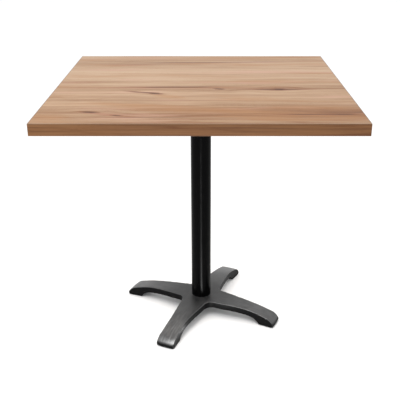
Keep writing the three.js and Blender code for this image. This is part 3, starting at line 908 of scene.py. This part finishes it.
def pad_piece(arm, material):
    """A glide's moulded foot: a domed rim, a waist groove and a dished underside."""
    node = f"glide_pad_{arm}"
    low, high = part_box(node)
    centre = (low + high) / 2
    rim, key_hole, socket, seat = (high.x - low.x) / 2, 4.5 * MM, 7.5 * MM, 3 * MM
    profile = [
        (key_hole, low.z + 0.4 * MM),
        (key_hole + 0.4 * MM, low.z),
        (rim - 2.6 * MM, low.z),
        (rim - 1.3 * MM, low.z + 0.25 * MM),
        (rim - 0.5 * MM, low.z + 0.8 * MM),
        (rim - 0.1 * MM, low.z + 1.6 * MM),
        (rim, low.z + 2.4 * MM),
        (rim, high.z - 2.6 * MM),
        (rim - 0.5 * MM, high.z - 2.2 * MM),
        (rim - 0.5 * MM, high.z - 1.6 * MM),
        (rim, high.z - 1.2 * MM),
        (rim, high.z - 0.4 * MM),
        (rim - 0.4 * MM, high.z),
        (socket + 0.3 * MM, high.z),
        (socket, high.z - 0.3 * MM),
        (socket, low.z + seat),
        (key_hole, low.z + seat),
    ]
    mesh = lathed(f"glide_foot_{arm}", centre, profile, 72, closed=True)
    return new_piece(f"glide_foot_{arm}", mesh, f"glide_{arm}", "black_nylon", material, node)


def recess_mesh(width, breadth, height):
    """A cross of two tapered bars, standing half below the origin."""
    cutter = bmesh.new()
    for turn in (0.0, math.pi / 2):
        bar = bmesh.ops.create_cube(cutter, size=1.0)["verts"]
        for vert in bar:
            narrow = 0.45 if vert.co.z > 0 else 1.0
            vert.co.x *= width * narrow
            vert.co.y *= breadth
            vert.co.z *= height
        bmesh.ops.rotate(cutter, verts=bar, matrix=Matrix.Rotation(turn, 3, "Z"))
    mesh = bpy.data.meshes.new("screw_cross")
    cutter.to_mesh(mesh)
    cutter.free()
    return mesh


def screw_mesh(head, shank, length):
    """A countersunk wood screw standing on its head at the origin, its cross recess cut."""
    head_height, tip = 3.2 * MM, 5 * MM
    profile = [
        (0, 0.0),
        (head - 0.2 * MM, 0.0),
        (head, 0.2 * MM),
        (head, 0.5 * MM),
        (shank, head_height),
        (0.8 * shank, head_height + 1.5 * MM),
        *thread(shank, head_height + 3 * MM, length - tip, 2.2 * MM),
        (0.45 * shank, length - 0.4 * tip),
        (0, length),
    ]
    body = new_object("screw_body", lathed("screw_body", ON_AXIS, profile, 40))
    recess = recess_mesh(width=5.4 * MM, breadth=1.2 * MM, height=3.6 * MM)
    cross = new_object("screw_cross", recess)
    cut = body.modifiers.new("recess", "BOOLEAN")
    cut.operation = "DIFFERENCE"
    cut.object = cross
    cut.use_self = True
    mesh = modified_mesh(body)
    for part in (body, cross):
        bpy.data.objects.remove(part)
    return mesh


def screw_pieces(material):
    """The wood screws under the top, each driven to an angle of its own."""
    low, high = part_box(TOP_SCREWS[0])
    pattern = screw_mesh(head=(high.x - low.x) / 2, shank=2.4 * MM, length=high.z - low.z)
    for i, node in enumerate(TOP_SCREWS):
        centre = middle(node)
        mesh = pattern.copy()
        mesh.transform(Matrix.Rotation(i * math.pi / 7, 4, "Z"))
        mesh.transform(Matrix.Translation((centre.x, centre.y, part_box(node)[0].z)))
        new_piece(f"wood_screw_{i + 1}", mesh, "frame", "zinc_steel", material, node)


# ---- Studio ----------------------------------------------------------------------------------


def floor():
    """A plain pale floor, wide enough to fill any view and clear from below."""
    bpy.ops.mesh.primitive_plane_add(size=60.0)
    plane = bpy.context.active_object
    plane.name = "studio_floor"
    graph = Graph("pale_floor")
    cloud = graph.noise(graph.place, 1.2, 3.0)
    colour = graph.mix(cloud, (0.88, 0.88, 0.88), (0.90, 0.90, 0.90))
    graph.finish(colour, 0.9, Specular_IOR_Level=0.1)
    output = next(n for n in graph.tree.nodes if n.type == "OUTPUT_MATERIAL")
    see_through = graph.add("ShaderNodeBsdfTransparent").outputs[0]
    from_below = graph.add("ShaderNodeNewGeometry").outputs["Backfacing"]
    sides = graph.add("ShaderNodeMixShader")
    for socket, source in zip(sides.inputs, (from_below, graph.shader.outputs[0], see_through)):
        graph.feed(socket, source)
    graph.feed(output.inputs["Surface"], sides.outputs[0])
    plane.data.materials.append(graph.material)


def softbox(name, place, aim, width, height, power):
    """A rectangular soft light that the camera doesn't see."""
    light = bpy.data.lights.new(name, "AREA")
    light.shape = "RECTANGLE"
    light.size = width
    light.size_y = height
    light.energy = power
    lamp = new_object(name, light)
    lamp.location = place
    lamp.rotation_euler = (Vector(aim) - Vector(place)).to_track_quat("-Z", "Y").to_euler()
    lamp.visible_camera = False
    return lamp


def studio(base):
    """A white surround and soft lights. Two of them only add glints, to the column and the base."""
    world = bpy.data.worlds.new("studio")
    bpy.context.scene.world = world
    world.use_nodes = True
    background = world.node_tree.nodes["Background"]
    background.inputs["Color"].default_value = (1.0, 1.0, 1.0, 1.0)
    background.inputs["Strength"].default_value = 1.13
    softbox("overhead", (0.0, 0.2, 3.4), (0.0, 0.0, 0.7), 3.0, 2.4, 10.0)
    softbox("front", (-0.6, -1.5, 2.5), (-0.1, -0.2, 0.0), 1.0, 0.8, 30.0)
    softbox("under_top", (0.0, 0.0, 0.655), (0.0, 0.0, 0.0), 0.72, 0.72, 3.4)
    streak = softbox("column_streak", (0.012, -0.95, 0.003), (0.012, -0.95, 1.0), 0.05, 1.6, 9.0)
    streak.visible_diffuse = False
    glint = softbox("arris_glint", (-0.85, -1.35, 1.75), (0.1, -0.1, 0.03), 0.4, 0.9, 95.0)
    glint.visible_diffuse = False
    glint_receivers = bpy.data.collections.new("glint_receivers")
    glint_receivers.objects.link(base)
    glint.light_linking.receiver_collection = glint_receivers
    bpy.context.scene.view_settings.view_transform = "Standard"


def camera():
    """The photograph's point of view: standing in front, a little right of the column."""
    data = bpy.data.cameras.new("camera")
    data.sensor_width = 36.0
    data.lens = 63.4
    data.shift_x = -0.014
    view = new_object("camera", data)
    view.location = (0.0139, -1.970, 1.193)
    view.rotation_euler = (math.radians(67.4), 0.0, 0.0)
    bpy.context.scene.camera = view


# ---- The table -------------------------------------------------------------------------------


def dress(material, *nodes):
    """CAD nodes keep their shape and get a finished material."""
    for name in nodes:
        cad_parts[name].material_slots[0].material = material


right_glide = middle("glide_pad_right")
base_turn = math.atan2(right_glide.y, right_glide.x)
zinc = zinc_material()
nylon = nylon_material()

dress(oak_top_material(), "top_laminate")
dress(oak_edge_material("oak_edge_x", "x", 41.0), "edge_band_front", "edge_band_back")
dress(oak_edge_material("oak_edge_y", "y", 57.0), "edge_band_left", "edge_band_right")
dress(chipboard_material(), "top_core")
dress(backing_material(), "top_backing")
base = base_piece(brushed_coat_material("cast_coat", base_turn), base_turn)
spider_piece(coat_material("spider_coat", CAST_SIDES))
column_piece(coat_material("column_coat", COLUMN))
rod_piece(zinc)
for end in ("top", "base"):
    washer_piece(f"{end}_washer", zinc)
    nut_piece(f"{end}_nut", zinc)
screw_pieces(zinc)
for arm in ARMS:
    stud_piece(arm, zinc)
    pad_piece(arm, nylon)
floor()
studio(base)
camera()
